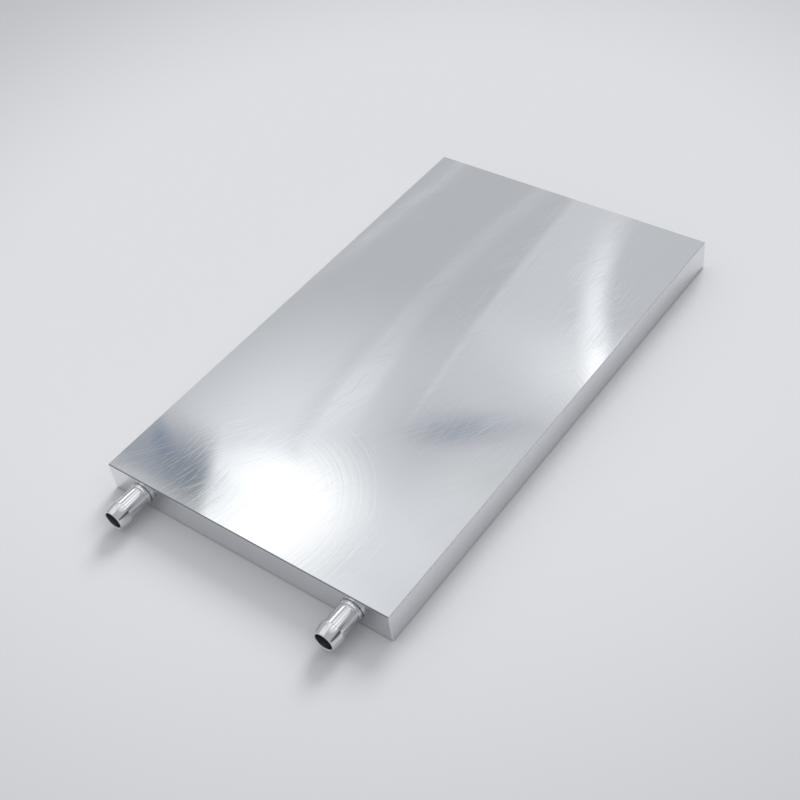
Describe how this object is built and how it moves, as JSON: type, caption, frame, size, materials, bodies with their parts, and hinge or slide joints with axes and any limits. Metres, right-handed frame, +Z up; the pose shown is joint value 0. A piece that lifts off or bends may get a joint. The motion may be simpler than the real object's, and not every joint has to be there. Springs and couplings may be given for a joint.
{
  "type": "liquid cooling cold plate",
  "caption": "Flat rectangular aluminium slab with a coolant channel and folded fins brazed inside it, and barbed hose tails on one short end.",
  "frame": {"origin": "middle of the slab's underside", "axes": "+Z up through the thermal face, +Y along the slab away from the hose tails, +X from the inlet to the outlet"},
  "size_m": [0.15, 0.268, 0.015],
  "materials": {
    "fly_cut_aluminium": "fly-cut, fine arcs from one wide pass of the cutter",
    "lid_aluminium": "fly-cut flush with the slab after brazing",
    "fin_foil": "rolled sheet, brazed",
    "turned_steel": "turned and polished stainless steel",
    "seal_rubber": "moulded black rubber"
  },
  "bodies": {
    "root": {"plate_body": "fly_cut_aluminium", "closing_lid": "lid_aluminium", "fin_pack_1": "fin_foil", "fin_pack_2": "fin_foil", "fin_pack_3": "fin_foil", "fin_pack_4": "fin_foil", "fin_pack_5": "fin_foil", "fin_pack_6": "fin_foil", "inlet_hose_tail": "turned_steel", "outlet_hose_tail": "turned_steel", "inlet_o_ring": "seal_rubber", "outlet_o_ring": "seal_rubber"}
  },
  "joints": []
}
